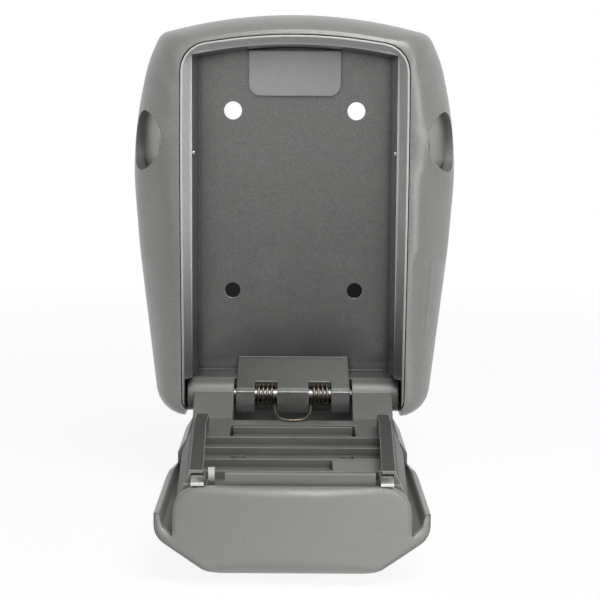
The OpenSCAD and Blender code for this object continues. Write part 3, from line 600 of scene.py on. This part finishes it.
def make_world(strength, front, table):
    """White round the object as seen.

    Mirrored, it is dimmer on the camera's side, and most so low down.
    """
    world = bpy.data.worlds.new("world")
    scene.world = world
    world.use_nodes = True
    t = Tree(world.node_tree, "Generated")
    studio = t.remap(t.along("Z"), TABLE_BAND, (table, front))
    round_about = t.remap(t.along("Y"), STUDIO_BAND, (studio, 1.0))
    camera_ray = t.node("ShaderNodeLightPath").outputs["Is Camera Ray"]
    seen = t.tree.nodes["Background"]
    t.feed(WHITE, seen.inputs["Color"])
    t.feed(t.math("MAXIMUM", camera_ray, round_about), seen.inputs["Strength"])
    soft = t.node("ShaderNodeBackground", {"Color": WHITE, "Strength": strength})
    mixed = t.mix_shader(t.shown_rays(), soft.outputs[0], seen.outputs[0])
    t.feed(mixed, t.tree.nodes["World Output"].inputs["Surface"])


FLOOR_HALF, FLOOR_GAP = 3.0, 0.4 * MM
FLOOR_NEAR, FLOOR_GLOW, FLOOR_PLAIN = (0.16, 0.16, 0.16, 1), 0.89, (0.75, 0.75, 0.74, 1)
SHADOW_FADE = (0.25, 0.6)  # distance at which the shadow fades out
DIM_FAR, DIM_NEAR = (-2.0, -0.6), (-0.5, -0.15)  # y at which the dim part fades in and out


def make_floor(z, table):
    """Pale floor: keeps the shadow near the object, and is open when seen from below.

    Mirrored, it is dimmer between the object and the camera.
    """
    mat = bpy.data.materials.new("floor")
    mat.use_nodes = True
    mat.node_tree.nodes.clear()
    t = Tree(mat.node_tree)

    def matt(colour):
        return t.node("ShaderNodeBsdfDiffuse", {"Color": colour}).outputs[0]

    def glow(strength):
        return t.node("ShaderNodeEmission", {"Strength": strength}).outputs[0]

    near = t.node("ShaderNodeAddShader", {0: matt(FLOOR_NEAR), 1: glow(FLOOR_GLOW)}).outputs[0]
    away = t.node("ShaderNodeVectorMath", {0: t.place}, operation="LENGTH").outputs["Value"]
    seen = t.mix_shader(t.remap(away, SHADOW_FADE), near, glow(1.0))
    mirrored = t.node("ShaderNodeLightPath").outputs["Is Glossy Ray"]
    dim = t.remap(t.along("Y"), DIM_FAR, (0.0, mirrored))
    dim = t.remap(t.along("Y"), DIM_NEAR, (dim, 0.0))
    seen = t.mix_shader(dim, seen, glow(table))
    top = t.mix_shader(t.shown_rays(), matt(FLOOR_PLAIN), seen)
    below = t.node("ShaderNodeNewGeometry").outputs["Backfacing"]
    clear = t.node("ShaderNodeBsdfTransparent").outputs[0]
    t.node("ShaderNodeOutputMaterial", {"Surface": t.mix_shader(below, top, clear)})
    corners = [(a * FLOOR_HALF, b * FLOOR_HALF, z) for a, b in ((-1, -1), (1, -1), (1, 1), (-1, 1))]
    floor = mesh_object("floor", corners, [(0, 1, 2, 3)], mat)


# Parts of the castings and the cover painted paler or darker for the light and shade on them, painted
# light and painted shade, in millimetres

# Knuckle front, wing insides, cover lip and cover pad: painted light. Door's hinge end and cover rails:
# painted shade.
KNUCKLE_FRONT_PAINTED_LIGHT = ((-21, -32.6, -72), (21, -27.4, -55))
DOOR_HINGE_END_PAINTED_SHADE = ((-40, -72, -75.5), (40, -15, -50))
DOOR_WING_INSIDES_PAINTED_LIGHT = ((-35.2, -131, -78.5), (35.2, -75, -71))
COVER_RAILS_PAINTED_SHADE = ((-40, -129.5, -64.6), (40, -40, -50))
COVER_LIP_PAINTED_LIGHT = ((-40, -140, -74), (40, -129.9, -60))
COVER_PAD_PAINTED_LIGHT = ((11.2, -113, -69), (29, -98, -66))
# Mouth strip: paler bare zinc before the mouth, with painted light that grows towards the top.
MOUTH_STRIP_WITH_PAINTED_LIGHT = (-32.4 * MM, (-85 * MM, 5 * MM), (0.8, 0.805, 0.795), 0.15)
PANEL_SOFT_R = 2.6

# Stretch of the streaks in metal

ALONG_X, ALONG_Y, EVEN = (0.06, 1.0, 1.0), (1.0, 0.3, 1.0), (1.0, 1.0, 1.0)

make_camera()

shell_zinc = coat("shell_zinc", (0.29, 0.294, 0.279), metal=0.35, rough=0.34, grain=0.35, wear=0.9,
                  relief=flank_crease)
case_zinc = coat("case_zinc", (0.213, 0.217, 0.209), metal=0.92, rough=0.24, grain=0.4, wear=0.12,
                 rub_and_edge_highlight=0.1, rim=MOUTH_STRIP_WITH_PAINTED_LIGHT, zones=[(KNUCKLE_FRONT_PAINTED_LIGHT, 2.0)])
door_zinc = coat("door_zinc", (0.36, 0.367, 0.347), metal=0.2, rough=0.38, grain=0.2, wear=0.4,
                 rub_and_edge_highlight=0.12, zones=[(DOOR_HINGE_END_PAINTED_SHADE, 0.6), (DOOR_WING_INSIDES_PAINTED_LIGHT, 1.6)], relief=panel_bulge,
                 soft=(PANEL_EDGE * MM, PANEL_SOFT_R * MM), painted_corner_shade=0.6)
plate_zinc = coat("plate_zinc", (0.47, 0.48, 0.47), metal=0.7, rough=0.36, grain=0.3, wear=0.6)
cover_grey = plastic("cover_grey", (0.19, 0.192, 0.182), rough=0.55, texture=0.2, shine=0.2,
                     zones=[(COVER_RAILS_PAINTED_SHADE, 0.42), (COVER_LIP_PAINTED_LIGHT, 1.55), (COVER_PAD_PAINTED_LIGHT, 1.65)])
black = plastic("black_plastic", (0.018, 0.018, 0.019), rough=0.42, texture=0.18)
rubber = plastic("plug_rubber", (0.012, 0.012, 0.012), rough=0.75, texture=0.3, shine=0.3)
wheel = plastic("wheel_plastic", (0.02, 0.02, 0.021), rough=0.38, texture=0.12)
numbers = ink("number_ink", (0.82, 0.81, 0.76))
steel = metal("steel", (0.5, 0.5, 0.49), rough=0.34, stretch=ALONG_X, streak=0.12)
dark_steel = metal("dark_steel", (0.2, 0.198, 0.19), rough=0.36, stretch=ALONG_X, streak=0.12)
chrome = metal("bolt_chrome", (0.82, 0.82, 0.8), rough=0.16, stretch=ALONG_Y, streak=0.1)
wire = metal("spring_steel", (0.22, 0.19, 0.15), rough=0.32, stretch=EVEN, streak=0.1)

by_slot = {"shell_zinc": shell_zinc, "door_zinc": door_zinc, "cover_grey": cover_grey, "steel": steel,
           "bolt_chrome": chrome, "spring_steel": wire, "plug_rubber": rubber, "wheel_plastic": wheel,
           "black_plastic": black}
by_node = {"case_body": case_zinc, "blanking_plate": plate_zinc, "cover_screws": dark_steel}
slots = {p["node"]: p["material_slot"] for p in frame["record"]["subparts"]}
group = smooth_group()
for name, o in frame["nodes"].items():
    o.data.materials.clear()
    o.data.materials.append(by_node.get(name, by_slot[slots[name]]))
    smooth(o, group)

hinge_spring(wire)
latch_springs(wire)
for i in range(1, WHEELS + 1):
    wheel_digits(i, numbers)

scene.view_settings.view_transform = "Standard"
make_world(strength=0.15, front=0.95, table=0.04)
make_floor(cad_low[2] - FLOOR_GAP, table=0.25)
area("key", place=(0.3, -0.72, 0.95), aim=(0, -0.06, -0.02), size=(0.8, 0.8), power=8.6)
area("strip", place=(0.4, -0.4, -0.02), aim=(0, -0.06, -0.03), size=(0.07, 0.4), power=0.5)
area("fill", place=(-0.5, -0.95, 0.25), aim=(0, -0.06, -0.02), size=(0.7, 0.7), power=0.75)
